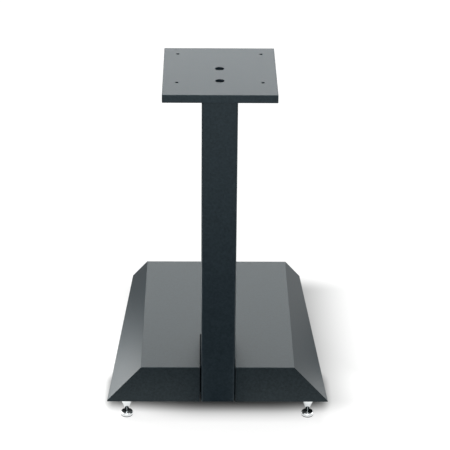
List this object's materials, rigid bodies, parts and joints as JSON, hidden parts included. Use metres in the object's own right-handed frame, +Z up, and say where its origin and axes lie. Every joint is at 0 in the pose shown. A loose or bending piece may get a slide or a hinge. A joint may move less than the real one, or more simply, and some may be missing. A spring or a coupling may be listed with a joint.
{
  "type": "speaker stand",
  "caption": "Floor stand for a loudspeaker: bevelled plinth with a rectangular column let into its front edge, thick flat top plate, cone spikes on dished discs.",
  "frame": {"origin": "on the floor, under the middle of the stand's outer box", "axes": "+X to the right, +Y to the back, +Z up; the column's flush front faces -Y"},
  "size_m": [0.39, 0.451, 0.6379],
  "materials": {
    "black_painted_board": "fine-textured satin black paint on fibreboard",
    "black_painted_steel": "fine-textured satin black powder coat",
    "bare_steel": "zinc plated",
    "black_screws": "black oxide",
    "chrome": "polished chrome plate",
    "black_rubber": "matt"
  },
  "bodies": {
    "stand": {"plinth": "black_painted_board", "foot_plate": "black_painted_steel", "column_tube": "black_painted_steel", "column_top_cap": "bare_steel", "column_foot_cap": "bare_steel", "top_plate": "black_painted_steel", "top_plate_screws": "black_screws", "column_foot_screws": "black_screws", "plinth_screws": "black_screws", "insert_front_left": "bare_steel", "insert_front_right": "bare_steel", "insert_rear_left": "bare_steel", "insert_rear_right": "bare_steel"},
    "front_left_shoe": {"shoe_front_left": "chrome", "shoe_pad_front_left": "black_rubber"},
    "front_left_spike": {"spike_front_left": "chrome", "lock_nut_front_left": "chrome"},
    "front_right_shoe": {"shoe_front_right": "chrome", "shoe_pad_front_right": "black_rubber"},
    "front_right_spike": {"spike_front_right": "chrome", "lock_nut_front_right": "chrome"},
    "rear_left_shoe": {"shoe_rear_left": "chrome", "shoe_pad_rear_left": "black_rubber"},
    "rear_left_spike": {"spike_rear_left": "chrome", "lock_nut_rear_left": "chrome"},
    "rear_right_shoe": {"shoe_rear_right": "chrome", "shoe_pad_rear_right": "black_rubber"},
    "rear_right_spike": {"spike_rear_right": "chrome", "lock_nut_rear_right": "chrome"}
  },
  "joints": [
    {"name": "spike_turn_front_left", "type": "hinge", "parent": "front_left_shoe", "child": "front_left_spike", "pos_m": [-0.16163, -0.1615, 0.03], "axis": [0, 0, 1], "range_deg": [-2160, 0]},
    {"name": "shoe_drop_front_left", "type": "slide", "parent": "stand", "child": "front_left_shoe", "axis": [0, 0, 1], "range_m": [-0.0075, 0]},
    {"name": "spike_turn_front_right", "type": "hinge", "parent": "front_right_shoe", "child": "front_right_spike", "pos_m": [0.16163, -0.1615, 0.03], "axis": [0, 0, 1], "range_deg": [-2160, 0]},
    {"name": "shoe_drop_front_right", "type": "slide", "parent": "stand", "child": "front_right_shoe", "axis": [0, 0, 1], "range_m": [-0.0075, 0]},
    {"name": "spike_turn_rear_left", "type": "hinge", "parent": "rear_left_shoe", "child": "rear_left_spike", "pos_m": [-0.13437, 0.1945, 0.03], "axis": [0, 0, 1], "range_deg": [-2160, 0]},
    {"name": "shoe_drop_rear_left", "type": "slide", "parent": "stand", "child": "rear_left_shoe", "axis": [0, 0, 1], "range_m": [-0.0075, 0]},
    {"name": "spike_turn_rear_right", "type": "hinge", "parent": "rear_right_shoe", "child": "rear_right_spike", "pos_m": [0.13437, 0.1945, 0.03], "axis": [0, 0, 1], "range_deg": [-2160, 0]},
    {"name": "shoe_drop_rear_right", "type": "slide", "parent": "stand", "child": "rear_right_shoe", "axis": [0, 0, 1], "range_m": [-0.0075, 0]}
  ],
  "couplings": [
    {"joint": "spike_turn_front_left", "follows": "shoe_drop_front_left", "rad_per_m": 5026.5},
    {"joint": "spike_turn_front_right", "follows": "shoe_drop_front_right", "rad_per_m": 5026.5},
    {"joint": "spike_turn_rear_left", "follows": "shoe_drop_rear_left", "rad_per_m": 5026.5},
    {"joint": "spike_turn_rear_right", "follows": "shoe_drop_rear_right", "rad_per_m": 5026.5}
  ]
}
